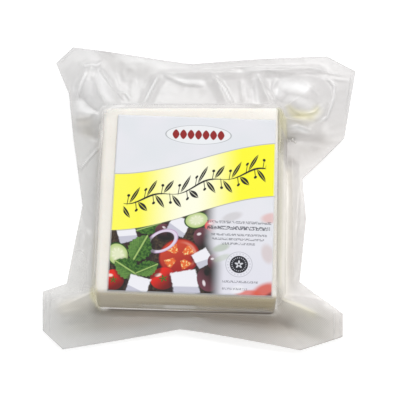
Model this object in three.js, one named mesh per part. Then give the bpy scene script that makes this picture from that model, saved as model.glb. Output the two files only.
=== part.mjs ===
// A block of feta sealed in a clear vacuum pouch, lying flat, with a printed label on its top face.
// Millimetres. X runs to the right, Y away from the near edge, Z up from the surface that it lies on.
// The origin is the middle of the pouch's plan, on that surface.
import * as THREE from "three";

// The block of cheese: corners of its top face in plan, and its height.
const BLOCK_CORNERS = {
  farLeft: [-53.3, 40.8],
  farRight: [39.3, 43.2],
  nearRight: [39.0, -63.4],
  nearLeft: [-52.7, -62.1],
};
const BLOCK_HEIGHT = 26;
const BLOCK_CORNER_RADIUS = 4;
const BLOCK_EDGE_RADIUS = 2.6;

// The cut edge of the pouch: four ears with clipped tips, and the drawn-in sides between them.
const POUCH_OUTLINE = [
  [-81.0, 74.9], [-72.5, 84.7], [-33.7, 80.1], [-7.9, 76.9], [19.6, 78.9], [65.5, 82.6],
  [81.0, 74.0], [74.8, 35.4], [52.4, 10.9], [54.5, -11.3], [51.2, -46.0],
  [73.4, -62.2], [73.3, -74.5], [51.6, -82.4], [0.6, -74.4], [-9.8, -73.1],
  [-69.0, -84.7], [-79.6, -75.0], [-80.9, -54.6], [-68.6, -50.2],
  [-62.6, -7.0], [-69.2, 29.8], [-73.1, 56.8],
];

// The two films pressed together round the block, as one flange.
const FLANGE_THICKNESS = 0.8;
const RIM_HEIGHT_MIDDLE = 4.6;
const RIM_RISE_PER_MM = 0.026;
const RIM_WAVE = 1.5;
const RIM_WAVE_LENGTH = 118;
const FLANGE_EASE = 12;
const FLANGE_AT_BLOCK = { left: 6, right: 6, far: 8 };
const FLANGE_AT_NEAR_SIDE = { leftEnd: 3.4, rightEnd: 8 };

// How far the film leans out from each side of the block between its top edge and the flange.
const FILM_LEAN = { left: 2.4, right: 5, far: 11, near: 2 };
const UNDERSIDE_LEAN = 7;
const UNDERSIDE_INSET = 1.5;

// Tents of film that run from the block's corners into the ears. The crest starts at the given height
// over the corner, and each tent is half as wide at its start as at its end.
const TENTS = [
  { from: [-49.0, 37.0], to: [-75.0, 49.0], height: 24, halfWidth: 15 },
  { from: [-49.0, 37.0], to: [-66.0, 79.0], height: 24, halfWidth: 17 },
  { from: [35.0, 39.0], to: [66.0, 45.0], height: 24, halfWidth: 14 },
  { from: [35.0, 39.0], to: [68.0, 74.0], height: 24, halfWidth: 18 },
  { from: [34.0, -60.0], to: [74.0, -67.0], height: 25, halfWidth: 15 },
  { from: [-48.0, -58.0], to: [-79.0, -65.0], height: 24, halfWidth: 15 },
];
const TENT_SAG = 1.6;
const TENT_FLANK_SAG = 1.25;

// A pocket of air beside the far right corner.
const POCKET = { centre: [54, 57], radius: 15.5, height: 3.6 };

// Folds that cross the flange: each is a crest from one point to the other.
const FOLDS = [
  { from: [-34, 46], to: [-24.5, 70], height: 2.6, halfWidth: 4.5 },
  { from: [15, 46], to: [4, 70], height: 2.4, halfWidth: 4.5 },
  { from: [38, 46], to: [27, 71], height: 2.6, halfWidth: 5 },
  { from: [-24.5, 70.5], to: [20, 71.5], height: 1.6, halfWidth: 4 },
  { from: [20, 71.5], to: [66, 75], height: 2.0, halfWidth: 4 },
  { from: [-60, 76], to: [-69, 54], height: 1.8, halfWidth: 5 },
  { from: [47, 25], to: [48, -48], height: 1.8, halfWidth: 4 },
  { from: [-57, 29], to: [-66, 13], height: 1.2, halfWidth: 3.5 },
  { from: [-60, -20], to: [-62, -45], height: 1.2, halfWidth: 4 },
];

// The label: a thin sheet laid on the block's top face and turned a little on it.
const LABEL_WIDTH = 82.4;
const LABEL_LENGTH = 97.8;
const LABEL_THICKNESS = 0.3;
const LABEL_CORNER_RADIUS = 0.6;
const LABEL_CENTRE = [-4.35, -13.4];
const LABEL_TURN_DEGREES = -0.75;
const GAP = 0.3;

// Mesh density.
const EDGE_STEP = 3.6;
const CORE_INSET = 22;
const CORE_RADIUS = 14;
const INNER_RINGS = 2;
const WALL_RINGS = 6;
const FLANGE_RINGS = 9;
const FLANGE_RING_CROWDING = 1.35;
const UNDERSIDE_RINGS = 4;

const clamp = (value, low, high) => Math.min(high, Math.max(low, value));
const mix = (a, b, share) => a + (b - a) * share;
const smooth = (share) => {
  const s = clamp(share, 0, 1);
  return s * s * (3 - 2 * s);
};

// The block's plan as four side lines, each with a point on it and its outward normal.
const { farLeft, farRight, nearRight, nearLeft } = BLOCK_CORNERS;
const sideLine = ([ax, ay], [bx, by]) => {
  const length = Math.hypot(bx - ax, by - ay);
  return { point: [ax, ay], normal: [-(by - ay) / length, (bx - ax) / length] };
};
const SIDES = {
  far: sideLine(farLeft, farRight),
  right: sideLine(farRight, nearRight),
  near: sideLine(nearRight, nearLeft),
  left: sideLine(nearLeft, farLeft),
};
const beyond = (side, x, y) => {
  const { point, normal } = SIDES[side];
  return (x - point[0]) * normal[0] + (y - point[1]) * normal[1];
};

// Distance outside the block's plan (negative inside), and the way out from it.
function blockDistance(x, y) {
  const right = beyond("right", x, y);
  const left = beyond("left", x, y);
  const far = beyond("far", x, y);
  const near = beyond("near", x, y);
  const acrossX = Math.max(right, left) + BLOCK_CORNER_RADIUS;
  const acrossY = Math.max(far, near) + BLOCK_CORNER_RADIUS;
  const outX = Math.max(acrossX, 0);
  const outY = Math.max(acrossY, 0);
  const reach = Math.hypot(outX, outY);
  const distance = reach + Math.min(Math.max(acrossX, acrossY), 0) - BLOCK_CORNER_RADIUS;
  const wayX = reach > 0 ? outX / reach : 0;
  const wayY = reach > 0 ? outY / reach : 0;
  return {
    distance,
    shares: {
      right: right > left ? wayX * wayX : 0,
      left: right > left ? 0 : wayX * wayX,
      far: far > near ? wayY * wayY : 0,
      near: far > near ? 0 : wayY * wayY,
    },
  };
}

// A value that each side of the block has of its own, blended round the corners.
const bySide = (shares, values) =>
  ["right", "left", "far", "near"].reduce((sum, side) => sum + shares[side] * values[side], 0);

// Height of the flange's upper face, without tents and folds.
function flangeHeight(x, y) {
  const { distance, shares } = blockDistance(x, y);
  const alongNear = clamp((x - nearLeft[0]) / (nearRight[0] - nearLeft[0]), 0, 1);
  const near = mix(FLANGE_AT_NEAR_SIDE.leftEnd, FLANGE_AT_NEAR_SIDE.rightEnd, alongNear);
  const atBlock = bySide(shares, { ...FLANGE_AT_BLOCK, near });
  const turn = 2 * Math.PI / RIM_WAVE_LENGTH;
  const wave = RIM_WAVE * Math.sin(turn * (x + 0.6 * y)) * Math.cos(turn * (0.7 * y - 0.4 * x));
  const rim = RIM_HEIGHT_MIDDLE + RIM_RISE_PER_MM * y + wave;
  return mix(rim, atBlock, Math.exp(-Math.max(distance, 0) / FLANGE_EASE));
}

// Place of a point beside a line from one point to another: share along it, and distance from it.
function besideLine({ from, to }, x, y) {
  const dx = to[0] - from[0];
  const dy = to[1] - from[1];
  const length = Math.hypot(dx, dy);
  const along = ((x - from[0]) * dx + (y - from[1]) * dy) / (length * length);
  const across = Math.abs((y - from[1]) * dx - (x - from[0]) * dy) / length;
  return { along, across };
}

// Height of one tent above the flange: a crest that sags from the block's corner down to the ear.
function tentRise(tent, base, x, y) {
  const { along, across } = besideLine(tent, x, y);
  if (along <= 0 || along >= 1) return 0;
  const crest = (tent.height - base) * (1 - along) ** TENT_SAG;
  const width = tent.halfWidth * mix(0.5, 1, along);
  return crest * Math.max(0, 1 - across / width) ** TENT_FLANK_SAG;
}

// Height of one fold above the film round it.
function foldRise(fold, x, y) {
  const { along, across } = besideLine(fold, x, y);
  const ends = smooth(along / 0.2 + 0.2) * smooth((1 - along) / 0.2 + 0.2);
  return fold.height * ends * Math.max(0, 1 - across / fold.halfWidth) ** 1.4;
}

function pocketRise(x, y) {
  const away = Math.hypot(x - POCKET.centre[0], y - POCKET.centre[1]) / POCKET.radius;
  return POCKET.height * Math.max(0, 1 - away ** 3);
}

// The film over one side of the block: a rounded top edge, a steep wall and a hollow foot.
function wallShare(distance, shares) {
  const lean = bySide(shares, FILM_LEAN) + BLOCK_EDGE_RADIUS;
  const out = clamp((distance + BLOCK_EDGE_RADIUS) / lean, 0, 1);
  const roundness = mix(2.4, 1.35, clamp(lean / 18, 0, 1));
  return (1 - out ** roundness) ** 2;
}

function topHeight(x, y) {
  const base = flangeHeight(x, y);
  const { distance, shares } = blockDistance(x, y);
  if (distance <= -BLOCK_EDGE_RADIUS) return BLOCK_HEIGHT;
  const wall = (BLOCK_HEIGHT - base) * wallShare(distance, shares);
  const tents = TENTS.map((tent) => tentRise(tent, base, x, y));
  const tallest = Math.max(wall, ...tents);
  const clear = smooth(distance / 4);
  const folds = FOLDS.reduce((sum, fold) => sum + foldRise(fold, x, y), 0);
  const pocket = Math.max(0, pocketRise(x, y) - tallest * 0.3);
  return Math.min(BLOCK_HEIGHT, base + tallest + clear * (folds + pocket));
}

function undersideHeight(x, y) {
  const { distance } = blockDistance(x, y);
  const lift = smooth((distance + UNDERSIDE_INSET) / UNDERSIDE_LEAN);
  return lift * Math.max(flangeHeight(x, y) - FLANGE_THICKNESS, 0.1);
}

// Points along the cut edge, with every corner of the outline among them.
function edgePoints() {
  return POUCH_OUTLINE.flatMap((from, i) => {
    const to = POUCH_OUTLINE[(i + 1) % POUCH_OUTLINE.length];
    const steps = Math.max(1, Math.round(Math.hypot(to[0] - from[0], to[1] - from[1]) / EDGE_STEP));
    return Array.from({ length: steps }, (_, k) =>
      [mix(from[0], to[0], k / steps), mix(from[1], to[1], k / steps)]);
  });
}

// The point of a smaller, rounded copy of the block's plan that lies nearest to an edge point.
function corePoint([x, y]) {
  const centreX = (farLeft[0] + nearRight[0]) / 2;
  const centreY = (farLeft[1] + nearRight[1]) / 2;
  const halfX = (farRight[0] - farLeft[0]) / 2 - CORE_INSET;
  const halfY = (farLeft[1] - nearLeft[1]) / 2 - CORE_INSET;
  const nearestX = clamp(x, centreX - halfX, centreX + halfX);
  const nearestY = clamp(y, centreY - halfY, centreY + halfY);
  const away = Math.hypot(x - nearestX, y - nearestY);
  return [
    nearestX + CORE_RADIUS * (x - nearestX) / away,
    nearestY + CORE_RADIUS * (y - nearestY) / away,
  ];
}

// A spoke runs from the core to the cut edge; this finds where it is a given distance outside the block.
function shareAtDistance(core, edge, wanted) {
  let low = 0;
  let high = 1;
  for (let step = 0; step < 24; step += 1) {
    const middle = (low + high) / 2;
    const at = blockDistance(mix(core[0], edge[0], middle), mix(core[1], edge[1], middle));
    if (at.distance < wanted) low = middle;
    else high = middle;
  }
  return (low + high) / 2;
}

function pouchGeometry() {
  const spokes = edgePoints().map((edge) => {
    const core = corePoint(edge);
    const { shares } = blockDistance(...edge);
    const lean = bySide(shares, FILM_LEAN);
    const edgeStart = shareAtDistance(core, edge, -BLOCK_EDGE_RADIUS);
    const wallEnd = shareAtDistance(core, edge, lean);
    const foot = shareAtDistance(core, edge, -UNDERSIDE_INSET);
    const footEnd = shareAtDistance(core, edge, UNDERSIDE_LEAN - UNDERSIDE_INSET);
    return { core, edge, edgeStart, wallEnd, foot, footEnd };
  });
  const ringCount = spokes.length;
  const positions = [];
  const triangles = [];
  const addRing = (shareOf, heightOf) => {
    const start = positions.length / 3;
    spokes.forEach((spoke) => {
      const share = shareOf(spoke);
      const x = mix(spoke.core[0], spoke.edge[0], share);
      const y = mix(spoke.core[1], spoke.edge[1], share);
      positions.push(x, y, heightOf(x, y));
    });
    return start;
  };
  // The outline runs clockwise seen from above, so this order faces the strip outwards.
  // Each four-sided cell is split along its more level diagonal, so that crests stay unbroken.
  const drop = (a, b) => Math.abs(positions[a * 3 + 2] - positions[b * 3 + 2]);
  const stitch = (inner, outer) => {
    for (let i = 0; i < ringCount; i += 1) {
      const j = (i + 1) % ringCount;
      if (drop(inner + i, outer + j) <= drop(inner + j, outer + i)) {
        triangles.push(inner + i, outer + j, outer + i);
        triangles.push(inner + i, inner + j, outer + j);
      } else {
        triangles.push(inner + i, inner + j, outer + i);
        triangles.push(inner + j, outer + j, outer + i);
      }
    }
  };
  const addCap = (ring, height, up) => {
    const middle = positions.length / 3;
    const x = (farLeft[0] + nearRight[0]) / 2;
    const y = (farLeft[1] + nearRight[1]) / 2;
    positions.push(x, y, height);
    for (let i = 0; i < ringCount; i += 1) {
      const j = (i + 1) % ringCount;
      if (up) triangles.push(middle, ring + j, ring + i);
      else triangles.push(middle, ring + i, ring + j);
    }
  };

  const rings = [];
  for (let k = 0; k < INNER_RINGS; k += 1) {
    rings.push(addRing((s) => s.edgeStart * k / INNER_RINGS, topHeight));
  }
  for (let k = 0; k <= WALL_RINGS; k += 1) {
    rings.push(addRing((s) => mix(s.edgeStart, s.wallEnd, k / WALL_RINGS), topHeight));
  }
  for (let k = 1; k <= FLANGE_RINGS; k += 1) {
    const share = (k / FLANGE_RINGS) ** FLANGE_RING_CROWDING;
    rings.push(addRing((s) => mix(s.wallEnd, 1, share), topHeight));
  }
  rings.push(addRing(() => 1, undersideHeight));
  for (let k = 1; k <= UNDERSIDE_RINGS; k += 1) {
    rings.push(addRing((s) => mix(1, s.footEnd, k / UNDERSIDE_RINGS), undersideHeight));
  }
  rings.push(addRing((s) => mix(s.footEnd, s.foot, 0.5), undersideHeight));
  rings.push(addRing((s) => s.foot, () => 0));
  addCap(rings[0], BLOCK_HEIGHT, true);
  rings.slice(1).forEach((ring, k) => stitch(rings[k], ring));
  addCap(rings[rings.length - 1], 0, false);

  const geometry = new THREE.BufferGeometry();
  geometry.setAttribute("position", new THREE.Float32BufferAttribute(positions, 3));
  geometry.setIndex(triangles);
  geometry.computeVertexNormals();
  return geometry;
}

function labelGeometry() {
  const halfX = LABEL_WIDTH / 2;
  const halfY = LABEL_LENGTH / 2;
  const r = LABEL_CORNER_RADIUS;
  const sheet = new THREE.Shape();
  sheet.moveTo(-halfX + r, -halfY);
  sheet.lineTo(halfX - r, -halfY);
  sheet.absarc(halfX - r, -halfY + r, r, -Math.PI / 2, 0);
  sheet.lineTo(halfX, halfY - r);
  sheet.absarc(halfX - r, halfY - r, r, 0, Math.PI / 2);
  sheet.lineTo(-halfX + r, halfY);
  sheet.absarc(-halfX + r, halfY - r, r, Math.PI / 2, Math.PI);
  sheet.lineTo(-halfX, -halfY + r);
  sheet.absarc(-halfX + r, -halfY + r, r, Math.PI, Math.PI * 1.5);
  return new THREE.ExtrudeGeometry(sheet, {
    depth: LABEL_THICKNESS,
    bevelEnabled: false,
    curveSegments: 4,
  });
}

const film = new THREE.MeshStandardMaterial({ color: 0xe9e6de, roughness: 0.25, metalness: 0 });
const print = new THREE.MeshStandardMaterial({ color: 0xe6e7ea, roughness: 0.4, metalness: 0 });

const pouch = new THREE.Mesh(pouchGeometry(), film);
pouch.name = "pouch";

const label = new THREE.Mesh(labelGeometry(), print);
label.name = "label";
label.position.set(LABEL_CENTRE[0], LABEL_CENTRE[1], BLOCK_HEIGHT + GAP);
label.rotation.z = THREE.MathUtils.degToRad(LABEL_TURN_DEGREES);

const group = new THREE.Group();
group.add(pouch, label);

export default group;
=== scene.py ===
"""A block of feta in a clear vacuum pouch, lying flat, with a printed label on its top face.

Lengths are in millimetres until a mesh is made, and every mesh is in metres in the part's own frame:
X to the right, Y away from the near edge, Z up from the surface that the pack lies on.
"""
import math

import bpy
import numpy as np
from mathutils import Matrix, Vector


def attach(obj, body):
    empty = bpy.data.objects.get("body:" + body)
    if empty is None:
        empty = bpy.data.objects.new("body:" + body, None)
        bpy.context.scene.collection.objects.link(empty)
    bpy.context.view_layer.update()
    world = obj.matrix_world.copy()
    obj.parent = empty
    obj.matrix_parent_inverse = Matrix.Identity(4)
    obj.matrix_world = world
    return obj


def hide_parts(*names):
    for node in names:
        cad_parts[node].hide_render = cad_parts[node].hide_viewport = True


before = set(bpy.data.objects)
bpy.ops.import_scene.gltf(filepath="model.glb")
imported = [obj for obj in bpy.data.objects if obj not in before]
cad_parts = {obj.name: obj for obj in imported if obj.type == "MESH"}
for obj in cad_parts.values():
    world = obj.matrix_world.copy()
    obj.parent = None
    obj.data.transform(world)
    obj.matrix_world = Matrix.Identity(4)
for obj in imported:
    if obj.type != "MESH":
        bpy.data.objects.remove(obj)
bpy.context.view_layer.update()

MM = 0.001

# The block in its film: its corners are as in the solids, its edges a little less round
BLOCK_CORNERS = {
    "far_left": (-53.3, 40.8),
    "far_right": (39.3, 43.2),
    "near_right": (39.0, -63.4),
    "near_left": (-52.7, -62.1),
}
BLOCK_WIDTH = 92.0
BLOCK_HEIGHT = 26.0
BLOCK_CORNER_RADIUS = 2.4
BLOCK_EDGE_RADIUS = 1.7

# The cheese inside the film: its cells, the gap above and below it, how far it stays in from the sides,
# how round its edges are, how deep its crumb is, and how far its cells crowd towards the edges
CHEESE_CELLS = (130, 146, 40)
FILM_GAP = 0.18
CHEESE_INSET = 0.5
CHEESE_RADIUS = 1.9
CHEESE_CRUMB = 0.09
EDGE_CROWDING = 0.28

# The cut edge of the pouch, as in the solids
POUCH_OUTLINE = [
    (-81.0, 74.9), (-72.5, 84.7), (-33.7, 80.1), (-7.9, 76.9), (19.6, 78.9), (65.5, 82.6),
    (81.0, 74.0), (74.8, 35.4), (52.4, 10.9), (54.5, -11.3), (51.2, -46.0),
    (73.4, -62.2), (73.3, -74.5), (51.6, -82.4), (0.6, -74.4), (-9.8, -73.1),
    (-69.0, -84.7), (-79.6, -75.0), (-80.9, -54.6), (-68.6, -50.2),
    (-62.6, -7.0), (-69.2, 29.8), (-73.1, 56.8),
]

# The flange of two films, its height as in the solids
RIM_HEIGHT_MIDDLE = 4.6
RIM_RISE_PER_MM = 0.026
RIM_WAVE = 1.5
RIM_WAVE_LENGTH = 118.0
FLANGE_EASE = 12.0
FLANGE_AT_BLOCK = {"left": 6.0, "right": 6.0, "far": 8.0}
FLANGE_AT_NEAR_SIDE = (3.4, 8.0)
FLANGE_THICKNESS = 0.5
LEAST_THICKNESS = 0.12

# How far the film leans out from each side, closer than in the solids on the near and left ones, how
# rounded it is where it leans least and most, and how the lower film rises from below the block
FILM_LEAN = {"left": 2.0, "right": 5.0, "far": 11.0, "near": 0.5}
WALL_ROUNDNESS = (5.2, 1.35)
WALL_FALL = (1.0, 2.0)
UNDERSIDE_LEAN = 7.0
UNDERSIDE_INSET = 1.5

# Tents of film from the block's corners into the ears: start, end, crest height, half width
TENTS = [
    ((-49.0, 37.0), (-75.0, 49.0), 24.0, 15.0),
    ((-49.0, 37.0), (-66.0, 79.0), 24.0, 17.0),
    ((35.0, 39.0), (66.0, 45.0), 24.0, 14.0),
    ((35.0, 39.0), (68.0, 74.0), 24.0, 18.0),
    ((34.0, -60.0), (74.0, -67.0), 25.0, 15.0),
    ((-48.0, -58.0), (-79.0, -65.0), 24.0, 15.0),
]
TENT_SAG = 1.6
TENT_FLANK_SAG = 1.25
TENT_FOOT = 0.45

# The pocket in the far right ear, a little lower than in the solids
POCKET_CENTRE = (54.0, 57.0)
POCKET_RADIUS = 15.5
POCKET_HEIGHT = 2.6

# Wide folds across the flange, as in the solids: start, end, height, half width
WIDE_FOLDS = [
    ((-34, 46), (-24.5, 70), 2.6, 4.5),
    ((15, 46), (4, 70), 2.4, 4.5),
    ((38, 46), (27, 71), 2.6, 5.0),
    ((-24.5, 70.5), (20, 71.5), 1.6, 4.0),
    ((20, 71.5), (66, 75), 2.0, 4.0),
    ((-60, 76), (-69, 54), 1.8, 5.0),
    ((47, 25), (48, -48), 1.8, 4.0),
    ((-57, 29), (-66, 13), 1.2, 3.5),
    ((-60, -20), (-62, -45), 1.2, 4.0),
]

# Creases that stand out, each along a path: points, height, widths to its left and its right
CREASES = [
    ([(-63.5, 71.2), (-69.4, 50.8)], 1.0, (1.2, 2.6)),
    ([(-58.1, 72.6), (-50.0, 60.2), (-42.8, 53.2)], 1.0, (2.4, 1.2)),
    ([(-68.0, 75.3), (-64.7, 73.0), (-58.7, 73.2), (-55.6, 76.9)], 0.7, (1.2, 1.6)),
    ([(-59.1, 70.7), (-56.1, 52.9), (-51.6, 48.3)], 0.8, (1.4, 3.0)),
    ([(-46.2, 57.9), (-42.4, 57.4), (-40.1, 53.3)], 0.6, (1.0, 1.0)),
    ([(-68.9, 40.8), (-60.9, 40.4), (-55.6, 42.3)], 0.9, (3.0, 1.0)),
    ([(-65.6, 12.2), (-54.5, 27.2)], 0.7, (0.9, 0.9)),
    ([(-33.0, 51.1), (-25.6, 68.0)], 1.0, (1.4, 1.0)),
    ([(-30.8, 50.0), (-24.4, 64.4)], 0.5, (0.9, 0.9)),
    ([(-24.6, 70.4), (-10.9, 64.7), (-0.1, 63.8)], 0.9, (3.4, 1.6)),
    ([(-12.2, 71.9), (5.1, 71.1)], 0.5, (1.2, 1.2)),
    ([(15.1, 52.3), (10.7, 61.7), (4.1, 68.7)], 0.9, (1.0, 1.6)),
    ([(20.5, 53.0), (18.6, 67.8)], 0.7, (1.2, 2.6)),
    ([(28.5, 53.2), (25.6, 69.2)], 0.4, (1.4, 1.0)),
    ([(39.7, 51.7), (33.8, 61.1), (27.2, 69.9)], 0.9, (1.4, 1.0)),
    ([(38.0, 69.5), (35.9, 62.3), (40.3, 52.9)], 0.8, (3.0, 1.0)),
    ([(50.4, 68.0), (61.7, 58.2)], 0.8, (1.2, 3.4)),
    ([(-3.1, 73.9), (23.9, 75.2), (50.9, 75.2), (75.2, 71.6)], 0.5, (1.0, 1.2)),
    ([(26.6, 72.8), (50.9, 71.6), (67.1, 73.8)], 0.5, (1.0, 1.0)),
    ([(50.9, 73.4), (67.1, 69.6), (78.9, 68.1)], 0.4, (1.0, 1.2)),
    ([(62.8, 69.5), (67.1, 68.4), (69.5, 65.5), (69.1, 57.8), (65.7, 47.2), (60.6, 42.8)], 0.9, (1.0, 1.2)),
    ([(44.6, 48.3), (51.0, 46.1), (59.0, 48.6), (62.7, 53.5)], 0.8, (1.6, 1.2)),
    ([(44.6, 36.9), (49.4, 39.0), (56.8, 38.6)], 1.0, (1.6, 1.0)),
    ([(42.6, 21.2), (44.2, -1.6), (43.2, -29.5), (42.0, -48.7)], 0.6, (1.8, 1.6)),
    ([(51.2, 7.1), (49.7, -18.3), (47.7, -43.2)], 0.4, (1.2, 1.2)),
    ([(39.0, -58.2), (52.8, -62.5), (67.1, -67.0)], 0.5, (3.2, 1.4)),
    ([(42.6, -55.8), (53.8, -54.9), (59.0, -59.1), (67.1, -66.4)], 0.35, (1.4, 1.4)),
    ([(-57.2, -57.4), (-63.8, -58.9), (-70.3, -61.2)], 0.25, (1.6, 1.4)),
    ([(-58.9, -65.2), (-71.1, -66.6)], 0.5, (3.6, 1.4)),
    ([(-70.8, -70.3), (-50.5, -68.8)], 0.4, (1.6, 1.6)),
    ([(-4.8, -66.5), (2.9, -67.5)], 0.4, (0.9, 0.9)),
]

# Small folds and the crumple of the film
SMALL_FOLDS_PER_SIDE = {"far": 22, "right": 7, "left": 6, "near": 6, "ears": 20}
SMALL_FOLD_SEED = 11
CRUMPLE_HEIGHT = 0.07
CRUMPLE_SIZE = 9.0

# Stains, whitened places, painted highlights, painted shade and painted light fade out over this length at
# their ends
PLACE_EASE = 7.0

# Where whey stands under the film: path, width and share
WHEY_PLACES = [
    ([(41.2, 44.5), (41.8, 30.0)], 4.2, 1.0),
    ([(41.8, 30.0), (40.6, 0.0), (40.6, -58.0)], 1.8, 0.35),
    ([(41.5, 47.5), (49.0, 46.0), (57.3, 46.8), (63.0, 53.0)], 5.0, 0.7),
    ([(38.0, -59.0), (50.0, -61.0), (62.0, -65.5)], 3.6, 0.35),
    ([(-54.5, -50.0), (-54.0, -60.0), (-50.0, -64.0)], 3.4, 0.75),
    ([(-54.5, -20.0), (-54.5, -58.0)], 2.4, 0.35),
]

# Painted shade on the film, down to a dark brown: in a line below the near side, where it turns in under the
# block, and in
# hollows of the ears: path, width and share
PAINTED_SHADE_PLACES = [
    ([(-50.0, -63.3), (-9.9, -64.1), (40.0, -64.7)], 1.2, 0.95),
    ([(-57.0, -63.8), (-9.9, -65.0), (38.0, -65.8)], 3.4, 0.38),
    ([(2.0, -65.8), (26.0, -66.6), (50.0, -69.2)], 6.5, 0.32),
    ([(-56.0, 86.0), (-50.5, 75.0), (-40.0, 71.0), (-27.0, 71.0)], 9.5, 0.28),
    ([(43.5, 36.0), (46.0, 27.0), (50.0, 17.0)], 9.0, 0.3),
    ([(46.0, 27.0), (57.0, 28.0), (67.0, 38.0)], 10.0, 0.26),
]

# Where the film is painted lighter, as whitened film and as painted highlights, at folds and where it is
# drawn tight: path, width and share
WHITENED_AND_HIGHLIGHT_PLACES = [
    ([(-55.0, 35.5), (-47.8, 40.6), (-39.0, 42.6)], 3.2, 0.8),
    ([(-54.2, 34.0), (-54.6, 0.0), (-54.0, -52.0)], 1.9, 0.7),
    ([(37.0, 43.6), (40.0, 40.5)], 1.8, 0.3),
    ([(42.6, 20.0), (43.8, -4.0), (43.0, -30.0), (42.0, -54.0)], 3.6, 0.22),
    ([(43.4, 36.6), (49.4, 38.2), (57.4, 37.6)], 2.4, 0.95),
    ([(-63.5, 71.2), (-69.4, 50.8)], 1.7, 0.75),
    ([(-58.6, 71.0), (-54.0, 56.0), (-49.0, 46.5)], 6.0, 0.5),
    ([(-62.5, 66.0), (-61.0, 52.0), (-55.0, 44.0)], 6.5, 0.5),
    ([(-68.0, 55.0), (-65.0, 47.0), (-56.0, 41.0), (-48.0, 38.0)], 6.0, 0.65),
    ([(35.5, 75.0), (36.5, 60.0)], 5.0, 0.4),
    ([(-46.2, 57.9), (-42.4, 57.4), (-40.1, 53.3)], 1.1, 0.5),
    ([(-68.0, 75.3), (-64.7, 73.0), (-58.7, 73.2), (-55.6, 76.9)], 1.3, 0.6),
    ([(-69.0, 45.0), (-58.0, 43.5)], 3.4, 0.35),
    ([(-71.5, 62.0), (-66.0, 48.0)], 4.0, 0.4),
    ([(18.0, 73.5), (34.0, 72.5)], 4.5, 0.35),
    ([(-65.6, 12.2), (-54.5, 27.2)], 0.8, 0.75),
    ([(-33.0, 50.1), (-25.6, 68.0)], 1.1, 0.55),
    ([(-24.0, 68.5), (-11.0, 66.0), (2.0, 66.5)], 3.4, 0.55),
    ([(-36.5, 62.0), (-37.5, 68.0)], 1.1, 0.4),
    ([(15.1, 52.3), (10.7, 61.7), (4.1, 68.7)], 1.0, 0.55),
    ([(22.6, 66.5), (25.0, 52.0)], 3.4, 0.4),
    ([(26.5, 72.0), (28.5, 50.0)], 5.5, 0.6),
    ([(38.0, 66.0), (42.5, 54.0)], 6.5, 0.65),
    ([(38.0, 66.0), (47.0, 62.5), (58.0, 60.5)], 9.0, 0.85),
    ([(61.5, 56.5), (63.5, 50.0)], 4.0, 0.5),
    ([(41.0, 57.0), (50.0, 53.0), (61.0, 49.5)], 6.0, 0.5),
    ([(62.8, 69.5), (67.1, 68.4), (69.5, 65.5), (69.1, 57.8), (65.7, 47.2), (60.6, 42.8)], 1.2, 0.6),
    ([(64.6, 57.0), (61.0, 47.6), (56.0, 44.5)], 3.2, 0.55),
    ([(-3.1, 73.9), (23.9, 75.2), (50.9, 75.2), (75.2, 71.6)], 0.9, 0.35),
    ([(-4.8, -66.5), (2.9, -68.5)], 1.4, 0.22),
]

# Painted light in a pale cream on the film, beside the block and on shaded flanks of the ears: path, width
# and share
CREAM_PAINTED_LIGHT_PLACES = [
    ([(42.4, 18.0), (42.0, -8.0), (41.6, -30.0), (41.0, -60.0)], 8.5, 1.0),
    ([(47.0, 14.0), (47.0, -14.0), (45.5, -50.0)], 7.0, 0.3),
    ([(47.0, 46.0), (58.0, 44.0)], 6.0, 0.5),
    ([(40.5, -50.0), (41.5, -62.0)], 4.5, 0.8),
    ([(-54.4, 30.0), (-54.8, -10.0), (-54.4, -58.0)], 2.6, 0.45),
    ([(40.0, -60.5), (50.0, -62.5), (60.0, -66.0)], 5.0, 0.35),
    ([(-53.0, -60.5), (-62.0, -62.5), (-74.0, -63.5)], 7.0, 0.75),
    ([(-70.0, 40.0), (-57.0, 38.0)], 6.0, 0.55),
    ([(-68.0, 36.0), (-56.0, 33.0)], 5.0, 0.5),
]

# The painted highlight on the fold low on the near side: its heights, its ends and how far it fades there,
# its brightness, and the stretch where it shines most
NEAR_FOLD_HEIGHTS = (7.0, 11.5)
NEAR_FOLD_ENDS = ((-42.0, 20.0), (42.0, 12.0))
NEAR_FOLD_BRIGHT = 0.55
NEAR_FOLD_SHINE = (-18.0, -2.0)

# How finely the strip of whey is woven, how far it reaches, the least amount that is made, its gaps
# below and above, and where it starts to fade on the near side
WHEY_STEP = 1.6
WHEY_CELLS = 6
WHEY_REACH = (0.4, 3.6)
WHEY_LEAST = 0.14
WHEY_GAPS = (0.2, 0.3)
WHEY_NEAR_END = -50.0
WHEY_NEAR_FADE = 10.0

# Bubbles beside the far right corner: how many, the least and greatest radius, centre and spread
BUBBLE_COUNT = 26
BUBBLE_RADII = (0.25, 0.85)
BUBBLE_PLACE = (45.4, 33.0, 3.8, 1.5)

# Ribs of the heat seals: their radius, how unevenly they are worn, and each from end to end
SEAL_RADIUS = 0.16
SEAL_WEAR = 0.5
SEAL_LINES = [
    ((68.9, -61.5), (68.9, -75.6)),
    ((72.0, -63.0), (72.0, -74.6)),
    ((-79.3, -56.0), (-78.2, -74.6)),
    ((-76.9, -54.6), (-75.8, -77.4)),
    ((78.6, 71.4), (75.6, 50.0)),
    ((-72.4, 82.8), (-78.0, 75.6)),
]

# How finely the film is woven
EDGE_STEP = 0.85
CORE_INSET = 22.0
CORE_RADIUS = 14.0
INNER_RINGS = 3
WALL_RINGS = 22
FLANGE_RINGS = 52
UNDERSIDE_RINGS = 22
FOOT_RINGS = 8
RING_CROWDING = 1.15

# The label, as in the solids but for a slightly shorter near end
LABEL_WIDTH = 82.4
LABEL_LENGTH = 97.0
LABEL_CENTRE = (-4.35, -13.0)
LABEL_TURN = math.radians(-0.75)
LABEL_CELLS = (82, 98)
LABEL_FACES = (26.42, 26.2)

# The cheese on its top face, where it is pale and where it is deeper
TOP_CREAM = (0.865, 0.845, 0.80, 1.0)
TOP_CREAM_DEEP = (0.84, 0.815, 0.76, 1.0)

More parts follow.
